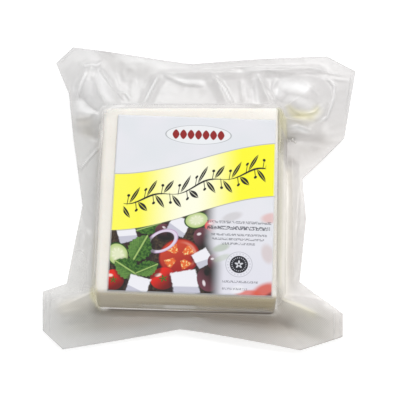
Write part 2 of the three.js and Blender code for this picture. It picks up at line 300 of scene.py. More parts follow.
# What the clear film lets through on the block, off it and over whey
CLEAR_ON_BLOCK = (0.968, 0.962, 0.955, 1.0)
CLEAR_OFF_BLOCK = (0.915, 0.91, 0.905, 1.0)
CLEAR_OVER_WHEY = (0.90, 0.885, 0.78, 1.0)

# Print: how much brighter the top face reads than its colour, and the sizes of what repeats
LIGHT_ON_TOP = 1.11
VEIL_ON_TOP = 0.02
BAND_WAVE = 92.0
SPRIG_STEP = 8.6
BADGE_CENTRE = (1.2, 38.5)
BADGE_RADII = (17.2, 5.4)
LOZENGE_STEP = 3.9
LOZENGE_ROW = 13.65
LOZENGE_RADII = (1.8, 2.7)
# Height, start, end, half height and darkness of each row of small print
SMALL_PRINT = [
    (-9.5, 7.3, 40.0, 0.75, 0.55),
    (-12.6, 7.5, 39.4, 1.0, 0.8),
    (-16.3, 9.6, 37.9, 0.6, 0.6),
    (-18.7, 10.2, 36.5, 0.6, 0.6),
    (-21.1, 14.8, 32.0, 0.6, 0.6),
    (-41.4, 16.0, 34.0, 0.6, 0.55),
    (-45.2, 16.0, 28.6, 0.6, 0.5),
]
# Blurred shapes where the salad fades out: centre, radii, turn, colour and share
FAR_PETALS = [
    ((37.5, -46.0), (8.0, 4.6), 28, (214, 84, 62), 0.9),
    ((29.0, -47.5), (7.0, 2.2), 6, (222, 96, 76), 0.8),
    ((41.0, -48.5), (4.6, 2.6), 30, (60, 50, 58), 0.7),
    ((40.0, -6.5), (6.0, 3.2), 8, (226, 160, 150), 0.55),
    ((20.0, -6.5), (6.0, 2.6), 20, (202, 198, 200), 0.6),
    ((38.5, -26.0), (3.6, 6.0), 14, (206, 182, 176), 0.5),
    ((15.0, -23.5), (5.0, 2.2), 20, (150, 172, 132), 0.5),
    ((15.5, -29.0), (5.0, 1.8), 24, (176, 190, 160), 0.4),
    ((24.0, -45.5), (4.0, 2.4), 12, (240, 240, 246), 0.9),
]

# The camera: what it looks at, from how high, and how far away
AIM = (-1.0, -10.8, 26.0)
CAMERA_ELEVATION = math.radians(68.0)
CAMERA_AZIMUTH = math.radians(1.4)
CAMERA_DISTANCE = 850.0
CAMERA_LENS = 149.7

# The floor glows a little, as a light table does
FLOOR_GREY = 0.6
FLOOR_GLOW = 0.58

# Light from all round, and soft lamps: name, azimuth from +Y towards +X, elevation, strength and spread
WORLD_LIGHT = 0.6
LAMPS = [
    ("window_light", 20, 52, 1.75, 34),
    ("left_strip_light", -55, 34, 0.2, 6),
    ("right_strip_light", 80, 38, 0.2, 6),
]


def tone(red, green, blue):
    """A screen colour from 0 to 255 as the linear colour that a shader takes."""
    def linear(level):
        share = level / 255
        return share / 12.92 if share <= 0.04045 else ((share + 0.055) / 1.055) ** 2.4
    return (linear(red), linear(green), linear(blue), 1.0)


class Field:
    """A number that varies over a surface or a mesh, so that Python's operators add Math nodes."""

    def __init__(self, board, socket):
        self.board = board
        self.socket = socket

    def math(self, operation, *values):
        node = self.board.add("ShaderNodeMath", {"operation": operation}, *values)
        return Field(self.board, node.outputs[0])

    def __add__(self, other):
        return self.math("ADD", self, other)

    def __radd__(self, other):
        return self.math("ADD", other, self)

    def __sub__(self, other):
        return self.math("SUBTRACT", self, other)

    def __rsub__(self, other):
        return self.math("SUBTRACT", other, self)

    def __mul__(self, other):
        return self.math("MULTIPLY", self, other)

    def __rmul__(self, other):
        return self.math("MULTIPLY", other, self)

    def __truediv__(self, other):
        return self.math("DIVIDE", self, other)

    def __pow__(self, other):
        return self.math("POWER", self, other)

    def __abs__(self):
        return self.math("ABSOLUTE", self)

    def sin(self):
        return self.math("SINE", self)

    def root(self):
        return self.math("SQRT", self)

    def angle(self, across):
        """The angle of a spot that lies this far up and that far across."""
        return self.math("ARCTAN2", self, across)

    def part(self):
        return self.math("FRACT", self)

    def least(self, other):
        return self.math("MINIMUM", self, other)

    def most(self, other):
        return self.math("MAXIMUM", self, other)

    def ramp(self, low, high, start=0.0, end=1.0):
        """Goes smoothly from start to end as this goes from low to high."""
        node = self.board.add("ShaderNodeMapRange", {"interpolation_type": "SMOOTHSTEP"},
                              self, low, high, start, end)
        return Field(self.board, node.outputs[0])


class Board:
    """A node tree that nodes are added to by type, settings and the values or links of their sockets."""

    def __init__(self, tree):
        self.tree = tree

    def add(self, kind, settings=None, *values, **named):
        node = self.tree.nodes.new(kind)
        for key, value in (settings or {}).items():
            setattr(node, key, value)
        for socket, value in zip(node.inputs, values):
            self.put(socket, value)
        for key, value in named.items():
            self.put(node.inputs[key.replace("_", " ")], value)
        return node

    def put(self, socket, value):
        if isinstance(value, Field):
            value = value.socket
        if isinstance(value, bpy.types.NodeSocket):
            self.tree.links.new(value, socket)
        elif value is not None:
            socket.default_value = value


class Look(Board):
    """A material."""

    def __init__(self, name):
        self.material = bpy.data.materials.new(name)
        self.material.use_nodes = True
        self.material.node_tree.nodes.clear()
        super().__init__(self.material.node_tree)

    def blend(self, share, under, over):
        node = self.add("ShaderNodeMix", {"data_type": "RGBA"})
        self.put(node.inputs[0], share)
        self.put(node.inputs[6], under)
        self.put(node.inputs[7], over)
        return node.outputs[2]

    def shaders(self, share, under, over):
        return self.add("ShaderNodeMixShader", None, share, under, over).outputs[0]

    def clear(self, colour):
        return self.add("ShaderNodeBsdfTransparent", None, colour).outputs[0]

    def place(self):
        """Object coordinates, as a vector and as three numbers in millimetres."""
        spot = self.add("ShaderNodeTexCoord").outputs["Object"]
        split = self.add("ShaderNodeSeparateXYZ", None, spot)
        x, y, z = (Field(self, split.outputs[axis]) * 1000.0 for axis in "XYZ")
        return spot, x, y, z

    def stored(self, name):
        return Field(self, self.add("ShaderNodeAttribute", {"attribute_name": name}).outputs["Fac"])

    def noise(self, spot, scale, detail=2.0, roughness=0.5, stretch=(1.0, 1.0, 1.0)):
        mapped = self.add("ShaderNodeMapping", None, spot, (0, 0, 0), (0, 0, 0), stretch).outputs[0]
        node = self.add("ShaderNodeTexNoise", None, Vector=mapped, Scale=scale, Detail=detail,
                        Roughness=roughness)
        return Field(self, node.outputs[0])

    def bump(self, height, strength, distance):
        return self.add("ShaderNodeBump", None, Strength=strength, Distance=distance,
                        Height=height).outputs[0]

    def finish(self, shader):
        output = self.add("ShaderNodeOutputMaterial")
        self.put(output.inputs[0], shader)
        return self.material


class Recipe(Board):
    """A Geometry Nodes tree whose inputs are named numbers."""

    def __init__(self, name, numbers):
        self.group = bpy.data.node_groups.new(name, "GeometryNodeTree")
        super().__init__(self.group)
        make_socket = self.group.interface.new_socket
        make_socket(name="Geometry", in_out="INPUT", socket_type="NodeSocketGeometry")
        for key in numbers:
            make_socket(name=key, in_out="INPUT", socket_type="NodeSocketFloat")
        make_socket(name="Geometry", in_out="OUTPUT", socket_type="NodeSocketGeometry")
        self.inlet = self.add("NodeGroupInput")
        self.numbers = numbers

    def number(self, key):
        return Field(self, self.inlet.outputs[key])

    def position(self):
        spot = self.add("GeometryNodeInputPosition").outputs[0]
        split = self.add("ShaderNodeSeparateXYZ", None, spot)
        return [Field(self, split.outputs[axis]) for axis in "XYZ"]

    def vector(self, x, y, z):
        return self.add("ShaderNodeCombineXYZ", None, x, y, z).outputs[0]

    def reckon(self, operation, *values, **named):
        """Vector maths."""
        return self.add("ShaderNodeVectorMath", {"operation": operation}, *values, **named).outputs[0]

    def finish(self, shape, material):
        """Everything is worked out in millimetres and scaled to metres here."""
        scaled = self.add("GeometryNodeTransform", None, Geometry=shape, Scale=(MM, MM, MM)).outputs[0]
        smooth_shape = self.add("GeometryNodeSetShadeSmooth", None, scaled).outputs[0]
        real = self.add("GeometryNodeRealizeInstances", None, smooth_shape).outputs[0]
        dressed = self.add("GeometryNodeSetMaterial", None, real)
        dressed.inputs["Material"].default_value = material
        self.put(self.add("NodeGroupOutput").inputs[0], dressed.outputs[0])

    def grow(self, name, material, base=None):
        """The plain mesh that the tree makes from its numbers."""
        mould = bpy.data.objects.new(name + "_mould", base or bpy.data.meshes.new(name + "_base"))
        bpy.context.scene.collection.objects.link(mould)
        modifier = mould.modifiers.new(name, "NODES")
        modifier.node_group = self.group
        for item in self.group.interface.items_tree:
            if item.in_out == "INPUT" and item.name in self.numbers:
                modifier[item.identifier] = float(self.numbers[item.name])
        bpy.context.view_layer.update()
        grown = mould.evaluated_get(bpy.context.evaluated_depsgraph_get())
        mesh = bpy.data.meshes.new_from_object(grown)
        bpy.data.objects.remove(mould)
        mesh.name = name
        if not mesh.materials:
            mesh.materials.append(material)
        piece = bpy.data.objects.new(name, mesh)
        bpy.context.scene.collection.objects.link(piece)
        return piece


# Surface of the pouch

def side_line(start, end):
    length = math.hypot(end[0] - start[0], end[1] - start[1])
    return start, (-(end[1] - start[1]) / length, (end[0] - start[0]) / length)


SIDES = {
    "far": side_line(BLOCK_CORNERS["far_left"], BLOCK_CORNERS["far_right"]),
    "right": side_line(BLOCK_CORNERS["far_right"], BLOCK_CORNERS["near_right"]),
    "near": side_line(BLOCK_CORNERS["near_right"], BLOCK_CORNERS["near_left"]),
    "left": side_line(BLOCK_CORNERS["near_left"], BLOCK_CORNERS["far_left"]),
}


def smooth(share):
    s = np.clip(share, 0, 1)
    return s * s * (3 - 2 * s)


def mix(a, b, share):
    return a + (b - a) * share


def block_distance(x, y):
    """Distance outside the block's plan, and how much each side has a say there."""
    out = {}
    for name, (point, way) in SIDES.items():
        out[name] = (x - point[0]) * way[0] + (y - point[1]) * way[1]
    across_x = np.maximum(out["right"], out["left"]) + BLOCK_CORNER_RADIUS
    across_y = np.maximum(out["far"], out["near"]) + BLOCK_CORNER_RADIUS
    out_x = np.maximum(across_x, 0)
    out_y = np.maximum(across_y, 0)
    reach = np.hypot(out_x, out_y)
    distance = reach + np.minimum(np.maximum(across_x, across_y), 0) - BLOCK_CORNER_RADIUS
    safe = np.maximum(reach, 1e-9)
    say_x = (out_x / safe) ** 2
    say_y = (out_y / safe) ** 2
    rightwards = out["right"] > out["left"]
    farwards = out["far"] > out["near"]
    return distance, {
        "right": np.where(rightwards, say_x, 0),
        "left": np.where(rightwards, 0, say_x),
        "far": np.where(farwards, say_y, 0),
        "near": np.where(farwards, 0, say_y),
    }


def by_side(shares, values):
    return sum(shares[side] * values[side] for side in SIDES)


def flange_height(x, y):
    distance, shares = block_distance(x, y)
    left_end = BLOCK_CORNERS["near_left"][0]
    right_end = BLOCK_CORNERS["near_right"][0]
    along_near = np.clip((x - left_end) / (right_end - left_end), 0, 1)
    at_block = by_side(shares, {**FLANGE_AT_BLOCK, "near": mix(*FLANGE_AT_NEAR_SIDE, along_near)})
    turn = 2 * math.pi / RIM_WAVE_LENGTH
    wave = RIM_WAVE * np.sin(turn * (x + 0.6 * y)) * np.cos(turn * (0.7 * y - 0.4 * x))
    rim = RIM_HEIGHT_MIDDLE + RIM_RISE_PER_MM * y + wave
    return mix(rim, at_block, np.exp(-np.maximum(distance, 0) / FLANGE_EASE))


def beside_line(start, end, x, y):
    dx = end[0] - start[0]
    dy = end[1] - start[1]
    length = math.hypot(dx, dy)
    along = ((x - start[0]) * dx + (y - start[1]) * dy) / length ** 2
    across = np.abs((y - start[1]) * dx - (x - start[0]) * dy) / length
    return along, across


def tent_rise(tent, base, x, y):
    start, end, height, half_width = tent
    along, across = beside_line(start, end, x, y)
    inside = (along > 0) & (along < 1)
    share = np.clip(along, 0, 1)
    crest = (height - base) * (1 - share) ** TENT_SAG
    width = half_width * mix(0.5, 1.0, share)
    flank = np.maximum(0, 1 - across / width)
    return np.where(inside, crest * flank ** TENT_FLANK_SAG * smooth(flank / TENT_FOOT), 0)


def fold_rise(fold, x, y):
    start, end, height, half_width = fold
    along, across = beside_line(start, end, x, y)
    ends = smooth(along / 0.2 + 0.2) * smooth((1 - along) / 0.2 + 0.2)
    return height * ends * np.maximum(0, 1 - across / half_width) ** 1.4


def segment_distance(start, end, x, y):
    """Distance to a straight piece, how far along it is nearest, and which side a point is on."""
    dx = end[0] - start[0]
    dy = end[1] - start[1]
    length = math.hypot(dx, dy)
    along = np.clip(((x - start[0]) * dx + (y - start[1]) * dy) / length ** 2, 0, 1)
    away = np.hypot(x - start[0] - along * dx, y - start[1] - along * dy)
    side = (y - start[1]) * dx - (x - start[0]) * dy
    return away, along * length, side


def path_length(path):
    return sum(math.dist(a, b) for a, b in zip(path, path[1:]))


def beside_path(path, x, y):
    """Distance to a path, the share of its length where it is nearest, and whether a point is left of it."""
    nearest = np.full(np.shape(x), 1e9)
    share = np.zeros(np.shape(x))
    left = np.zeros(np.shape(x), dtype=bool)
    total = path_length(path)
    before = 0.0
    for start, end in zip(path, path[1:]):
        away, along, side = segment_distance(start, end, x, y)
        closer = away < nearest
        nearest = np.where(closer, away, nearest)
        share = np.where(closer, (before + along) / total, share)
        left = np.where(closer, side > 0, left)
        before += math.dist(start, end)
    return nearest, share, left


def crease_rise(crease, x, y):
    path, height, (left_width, right_width) = crease
    away, share, left = beside_path(path, x, y)
    width = np.where(left, left_width, right_width)
    ends = smooth(share / 0.25 + 0.15) * smooth((1 - share) / 0.25 + 0.15)
    return height * ends * np.maximum(0, 1 - away / width) ** 1.3


def wall_share(distance, shares):
    lean = by_side(shares, FILM_LEAN) + BLOCK_EDGE_RADIUS
    out = np.clip((distance + BLOCK_EDGE_RADIUS) / lean, 0, 1)
    roundness = mix(*WALL_ROUNDNESS, np.clip(lean / 18, 0, 1) ** 0.6)
    fall = mix(*WALL_FALL, np.clip(lean / 12, 0, 1))
    return (1 - out ** roundness) ** fall


def small_folds():
    """Folds too small for the solids, drawn by chance round the block, most of them on the far side."""
    chance = np.random.default_rng(SMALL_FOLD_SEED)
    left, right = BLOCK_CORNERS["far_left"][0], BLOCK_CORNERS["far_right"][0]
    near, far = BLOCK_CORNERS["near_left"][1], BLOCK_CORNERS["far_left"][1]
    pick = chance.uniform
    starts = {
        "far": lambda: (pick(left, right), far + pick(4, 30), math.pi / 2),
        "right": lambda: (right + pick(3, 11), pick(near, far), pick(1.3, 1.9)),
        "left": lambda: (left - pick(4, 12), pick(near, far), pick(1.2, 2.0)),
        "near": lambda: (pick(left, right), near - pick(2, 8), pick(-0.2, 0.2)),
    }
    folds = []
    for side, count in SMALL_FOLDS_PER_SIDE.items():
        for turn in range(count):
            if side == "ears":
                corner_x, corner_y = list(BLOCK_CORNERS.values())[turn % 4]
                way = math.atan2(math.copysign(1, corner_y), math.copysign(1, corner_x))
                way = way + chance.normal(0, 0.45)
                reach = pick(6, 26)
                x = corner_x + reach * math.cos(way)
                y = corner_y + reach * math.sin(way)
            else:
                x, y, way = starts[side]()
            way = way + chance.normal(0, 0.28)
            half = pick(3, 10)
            height = pick(0.08, 0.3)
            folds.append((
                (x - half * math.cos(way), y - half * math.sin(way)),
                (x + half * math.cos(way), y + half * math.sin(way)),
                height * chance.choice([-0.6, 1.0]),
                pick(1.2, 3.4),
            ))
    return folds


def ripple(x, y, seed):
    """Smooth noise between -1 and 1, as a sum of waves whose directions come from a seed."""
    chance = np.random.default_rng(seed)
    total = np.zeros_like(x)
    waves = 9
    for turn in range(waves):
        way = chance.uniform(0, math.pi)
        length = chance.uniform(0.7, 1.9)
        phase = chance.uniform(0, 2 * math.pi)
        total += np.sin((x * math.cos(way) + y * math.sin(way)) * 2 * math.pi / length + phase)
    return total / math.sqrt(waves)


SMALL_FOLDS = small_folds()


def film_height(x, y):
    """Height of the upper film."""
    base = flange_height(x, y)
    distance, shares = block_distance(x, y)
    tallest = (BLOCK_HEIGHT - base) * wall_share(distance, shares)
    past_corner = 1 - shares["near"] ** 4
    for tent in TENTS:
        tallest = np.maximum(tallest, tent_rise(tent, base, x, y) * past_corner)
    clear = smooth(distance / 4)
    folds = sum(fold_rise(fold, x, y) for fold in WIDE_FOLDS + SMALL_FOLDS)
    creases = smooth((distance + 0.6) / 1.2) * sum(crease_rise(crease, x, y) for crease in CREASES)
    away = np.hypot(x - POCKET_CENTRE[0], y - POCKET_CENTRE[1]) / POCKET_RADIUS
    pocket = np.maximum(0, POCKET_HEIGHT * np.maximum(0, 1 - away ** 3) - tallest * 0.3)
    crumple = 1 - np.abs(ripple(x / CRUMPLE_SIZE, y / CRUMPLE_SIZE, 3))
    crumple = crumple * (0.5 + 0.5 * shares["far"] + 0.2 * shares["right"])
    height = base + tallest + creases + clear * (folds + pocket + CRUMPLE_HEIGHT * crumple)
    height = np.where(distance <= -BLOCK_EDGE_RADIUS, BLOCK_HEIGHT, np.minimum(BLOCK_HEIGHT, height))
    lowest = underside_height(x, y) + LEAST_THICKNESS
    return np.maximum(height, lowest)


def underside_height(x, y):
    """Height of the lower film."""
    distance, shares = block_distance(x, y)
    lift = smooth((distance + UNDERSIDE_INSET) / UNDERSIDE_LEAN)
    return lift * np.maximum(flange_height(x, y) - FLANGE_THICKNESS, 0.1)


def edge_points(step):
    points = []
    for start, end in zip(POUCH_OUTLINE, POUCH_OUTLINE[1:] + POUCH_OUTLINE[:1]):
        steps = max(1, round(math.dist(start, end) / step))
        for k in range(steps):
            points.append((mix(start[0], end[0], k / steps), mix(start[1], end[1], k / steps)))
    return np.array(points)


def core_points(edge):
    centre = np.array([
        (BLOCK_CORNERS["far_left"][0] + BLOCK_CORNERS["near_right"][0]) / 2,
        (BLOCK_CORNERS["far_left"][1] + BLOCK_CORNERS["near_right"][1]) / 2,
    ])
    half = np.array([
        (BLOCK_CORNERS["far_right"][0] - BLOCK_CORNERS["far_left"][0]) / 2 - CORE_INSET,
        (BLOCK_CORNERS["far_left"][1] - BLOCK_CORNERS["near_left"][1]) / 2 - CORE_INSET,
    ])
    nearest = np.clip(edge, centre - half, centre + half)
    away = np.linalg.norm(edge - nearest, axis=1, keepdims=True)
    return centre, nearest + CORE_RADIUS * (edge - nearest) / away


def share_at_distance(core, edge, wanted):
    low = np.zeros(len(core))
    high = np.ones(len(core))
    for _ in range(24):
        middle = (low + high) / 2
        at = core + (edge - core) * middle[:, None]
        nearer = block_distance(at[:, 0], at[:, 1])[0] < wanted
        low = np.where(nearer, middle, low)
        high = np.where(nearer, high, middle)
    return (low + high) / 2


class Rings:
    """A surface woven from rings of points round the block, stitched from the middle outwards."""

    def __init__(self, step):
        self.edge = edge_points(step)
        self.centre, self.core = core_points(self.edge)
        shares = block_distance(self.edge[:, 0], self.edge[:, 1])[1]
        lean = by_side(shares, FILM_LEAN)
        self.edge_start = share_at_distance(self.core, self.edge, -BLOCK_EDGE_RADIUS)
        self.wall_end = share_at_distance(self.core, self.edge, lean)
        self.foot = share_at_distance(self.core, self.edge, -UNDERSIDE_INSET)
        self.foot_end = share_at_distance(self.core, self.edge, UNDERSIDE_LEAN - UNDERSIDE_INSET)
        self.points = []
        self.faces = []
        self.last = None

    def plan(self, share):
        return self.core + (self.edge - self.core) * np.broadcast_to(share, len(self.core))[:, None]

    def add(self, plan, height):
        start = len(self.points)
        self.points += [(x * MM, y * MM, z * MM) for (x, y), z in zip(plan, height)]
        count = len(plan)
        if self.last is not None:
            for i in range(count):
                j = (i + 1) % count
                self.faces.append((self.last + i, self.last + j, start + j, start + i))
        self.last = start

    def cap(self, height, first):
        middle = len(self.points)
        self.points.append((self.centre[0] * MM, self.centre[1] * MM, height * MM))
        count = len(self.edge)
        for i in range(count):
            j = (i + 1) % count
            self.faces.append((middle, self.last + j, self.last + i) if first
                              else (middle, self.last + i, self.last + j))


def plain_piece(name, points, faces, material):
    mesh = bpy.data.meshes.new(name)
    mesh.from_pydata(points, [], faces)
    mesh.validate()
    mesh.polygons.foreach_set("use_smooth", [True] * len(mesh.polygons))
    mesh.materials.append(material)
    piece = bpy.data.objects.new(name, mesh)
    bpy.context.scene.collection.objects.link(piece)
    return piece


def store(piece, name, values):
    field = piece.data.attributes.new(name, "FLOAT", "POINT")
    field.data.foreach_set("value", np.asarray(values, dtype=np.float32))


def make_film(material):
    """Both films of the pouch as one closed skin, joined along the cut edge."""
    rings = Rings(EDGE_STEP)
    shares = [rings.edge_start * k / INNER_RINGS for k in range(INNER_RINGS)]
    shares += [mix(rings.edge_start, rings.wall_end, k / WALL_RINGS) for k in range(WALL_RINGS + 1)]
    for k in range(1, FLANGE_RINGS + 1):
        shares.append(mix(rings.wall_end, 1, (k / FLANGE_RINGS) ** RING_CROWDING))
    for k, share in enumerate(shares):
        plan = rings.plan(share)
        rings.add(plan, film_height(plan[:, 0], plan[:, 1]))
        if k == 0:
            rings.cap(BLOCK_HEIGHT, True)
    under = [mix(1, rings.foot_end, k / UNDERSIDE_RINGS) for k in range(UNDERSIDE_RINGS + 1)]
    under += [mix(rings.foot_end, rings.foot, k / FOOT_RINGS) for k in range(1, FOOT_RINGS + 1)]
    for share in under:
        plan = rings.plan(share)
        rings.add(plan, underside_height(plan[:, 0], plan[:, 1]))
    rings.cap(0.0, False)
    film = plain_piece("film", rings.points, rings.faces, material)
    spots = np.array(rings.points) / MM
    distance, _ = block_distance(spots[:, 0], spots[:, 1])
    store(film, "off_block", np.clip(distance / 10, 0, 1))
    store(film, "whey", place_share(WHEY_PLACES, spots))
    store(film, "painted_shade", place_share(PAINTED_SHADE_PLACES, spots))
    store(film, "whitened_and_highlight", np.maximum(place_share(WHITENED_AND_HIGHLIGHT_PLACES, spots), near_fold_highlight(spots)))
    store(film, "cream_painted_light", place_share(CREAM_PAINTED_LIGHT_PLACES, spots))
    return film


def place_share(places, spots):
    """How strongly each stain, whitened place, painted highlight, painted shade and painted light shows at
    each point of the film.
    """
    value = np.zeros(len(spots))
    for path, width, share in places:
        away, along, _ = beside_path(path, spots[:, 0], spots[:, 1])
        ends = smooth(np.minimum(along, 1 - along) * path_length(path) / PLACE_EASE + 0.25)
        value = np.maximum(value, share * ends * (1 - smooth(away / width)))
    return value


def within(value, low, high, ease):
    """1 between two values, and halfway down at each."""
    return smooth((value - low) / ease + 0.5) * smooth((high - value) / ease + 0.5)


def near_fold_highlight(spots):
    """Painted highlight on the fold that runs low along the near side."""
    x, y, z = spots.T
    _, sides = block_distance(x, y)
    (left_end, left_fade), (right_end, right_fade) = NEAR_FOLD_ENDS
    along = smooth((x - left_end) / left_fade) * smooth((right_end - x) / right_fade)
    shine = mix(NEAR_FOLD_BRIGHT, 1.0, within(x, *NEAR_FOLD_SHINE, 4.0))
    return sides["near"] ** 2 * within(z, *NEAR_FOLD_HEIGHTS, 1.5) * along * shine


# Finishes

def film_finish():
    """Clear film, hazy where it lies on the flange, whitened at folds and stained by whey, with painted
    highlights, painted shade and painted light.
    """
    look = Look("clear_film")
    spot, x, y, _ = look.place()
    off = look.stored("off_block")
    whey = look.stored("whey")
    painted_shade = look.stored("painted_shade")
    whitened_and_highlight = look.stored("whitened_and_highlight")
    cream_painted_light = look.stored("cream_painted_light")
    cloud = look.noise(spot, 45.0, 2.0)
    normal = look.bump(look.noise(spot, 300.0, 2.0), 0.15, 0.0001)
    nearness = y * -1.0
    near = nearness.ramp(55.0, 66.0)
    near_flange = near * off.ramp(0.0, 0.25)
    past_foot = off.ramp(0.0, 0.3)

    weave = (x * 5.2).sin() * (y * 5.2).sin()
    left_ear = (1.0 - x.ramp(-64.0, -52.0)) * nearness.ramp(20.0, 45.0) * (1.0 - nearness.ramp(62.0, 70.0))
    haze = off.ramp(0.0, 0.42, 0.02, 0.41) + off.ramp(0.0, 0.5) * (cloud - 0.5) * 0.16
    haze = haze + near * past_foot * (weave * 0.045 + 0.1) - left_ear * past_foot * 0.12
    haze = haze + whey * 0.16 + painted_shade * 0.9 + cream_painted_light * 0.5 + whitened_and_highlight * (0.3 + off.ramp(0.0, 0.1, 0.15, 0.3))

    beyond = 4.0 - y - abs(x + 4.0) * 0.18
    rim = beyond.ramp(66.5, 74.0) * (0.95 - x.ramp(-10.0, 10.0) * 0.2)
    # Painted shade on the near flange, where the block's shadow falls, fading out near the cut edge, with a
    # warmer beige part nearer the middle.
    inner = near_flange * (1.0 - rim)
    warm_near_shade = inner * x.ramp(-62.0, -30.0) * (1.0 - x.ramp(30.0, 62.0) * 0.75)
    milky = look.blend(x.ramp(-40.0, 40.0), tone(207, 207, 206), tone(214, 210, 208))
    layers = [
        (y.ramp(20.0, 60.0) * 0.6, tone(212, 211, 213)),
        # painted shade on the near flange
        (inner * x.ramp(-79.0, -58.0) * (1.0 - x.ramp(58.0, 75.0)), tone(186, 185, 178)),
        # warmer painted shade on the near flange
        (warm_near_shade, tone(198, 188, 177)),
        # painted light in a pale cream
        (cream_painted_light * 0.9, tone(232, 227, 216)),
        (whey.ramp(0.0, 0.9), tone(226, 220, 180)),
        # whitened film and painted highlights, near white
        (whitened_and_highlight * 0.9, tone(250, 250, 250)),
        # painted shade, dark brown, below the block and in hollows
        (painted_shade.least(1.0), tone(104, 92, 80)),
    ]
    for share, colour in layers:
        milky = look.blend(share, milky, colour)
    milk = look.add("ShaderNodeBsdfPrincipled", None, Base_Color=milky, Roughness=0.4,
                    Normal=normal).outputs[0]

    clear = look.shaders(off.ramp(0.0, 0.25), look.clear(CLEAR_ON_BLOCK), look.clear(CLEAR_OFF_BLOCK))
    clear = look.shaders(whey.ramp(0.0, 0.8), clear, look.clear(CLEAR_OVER_WHEY))
    gloss = look.add("ShaderNodeBsdfGlossy", None, (1, 1, 1, 1), Roughness=0.22, Normal=normal).outputs[0]
    sheen = Field(look, look.add("ShaderNodeFresnel", None, 1.4, normal).outputs[0])
    shine = (sheen * 0.6).least(0.3) * (1.0 - whitened_and_highlight * 0.6 - cream_painted_light * 0.3)
    return look.finish(look.shaders(shine, look.shaders(haze, clear, milk), gloss))


def cheese_finish():
    """Moist cream, yellower on the right, with painted shade that makes the near side darker and yellower,
    and painted light low on it.
    """
    look = Look("moist_feta")
    spot, x, y, z = look.place()
    cloud = look.noise(spot, 38.0, 3.0)
    crumb = look.noise(spot, 420.0, 4.0, 0.6)
    pits = look.noise(spot, 900.0, 2.0, 0.5)
    colour = look.blend(cloud.ramp(0.35, 0.7), TOP_CREAM, TOP_CREAM_DEEP)
    # Painted shade: the near face takes darker, yellower colours than the top.
    near_face_shade = (y * -1.0).ramp(60.0, 62.6) * (1.0 - z.ramp(24.0, 25.6) * 0.6)
    streaks = look.noise(spot, 60.0, 2.0, 0.5, (0.25, 1.0, 3.0))
    near_side = look.blend(streaks.ramp(0.3, 0.7), tone(196, 184, 146), tone(182, 167, 128))
    # Painted light: lighter low on the near face.
    near_side = look.blend(1.0 - z.ramp(6.0, 14.0), near_side, tone(224, 213, 180))
    colour = look.blend(near_face_shade, colour, near_side)
    colour = look.blend(x.ramp(38.2, 39.6) * 0.8, colour, tone(242, 236, 206))
    colour = look.blend(pits.ramp(0.62, 0.75) * 0.25, colour, tone(214, 206, 186))
    surface = look.add("ShaderNodeBsdfPrincipled", None, Base_Color=colour, Roughness=0.42,
                       Normal=look.bump(crumb, 0.12, 0.0003), Subsurface_Weight=0.12,
                       Subsurface_Radius=(0.006, 0.004, 0.003), Subsurface_Scale=1.0)
    return look.finish(surface.outputs[0])


def whey_finish():
    look = Look("whey")
    cloud = look.noise(look.place()[0], 120.0, 2.0)
    colour = look.blend(cloud.ramp(0.3, 0.7), tone(248, 245, 220), tone(242, 238, 206))
    surface = look.add("ShaderNodeBsdfPrincipled", None, Base_Color=colour, Roughness=0.15, Alpha=0.4)
    return look.finish(surface.outputs[0])


def bubble_finish():
    look = Look("bubbles")
    surface = look.add("ShaderNodeBsdfPrincipled", None, Base_Color=tone(250, 249, 244), Roughness=0.08,
                       Alpha=0.6)
    return look.finish(surface.outputs[0])


def seal_finish():
    look = Look("seal_ribs")
    worn = look.noise(look.place()[0], 150.0, 2.0)
    colour = look.blend(worn.ramp(0.35, 0.65), tone(232, 232, 232), tone(214, 214, 214))
    surface = look.add("ShaderNodeBsdfPrincipled", None, Base_Color=colour, Roughness=0.3, Alpha=0.5)
    return look.finish(surface.outputs[0])


# The print on the label

def ink(red, green, blue):
    """A printed colour that reads as this one from 0 to 255 under the light on the top face."""
    levels = tone(red, green, blue)[:3]
    return tuple(max(0.004, level - VEIL_ON_TOP) / LIGHT_ON_TOP for level in levels) + (1.0,)


def inside(reach, edge=1.0, blur=0.04):
    """1 where a distance is less than an edge."""
    return 1.0 - reach.ramp(edge - blur, edge + blur)


def band(value, low, high, blur):
    """1 between two values."""
    return value.ramp(low - blur, low + blur) * (1.0 - value.ramp(high - blur, high + blur))


def wave(u, place):
    """The curve that the band's edges follow, from -1 to 1, rising to the right."""
    return ((u - place) * (math.pi / BAND_WAVE)).sin()


def band_foot(u):
    return wave(u, 1.0) * 11.0 - 5.1


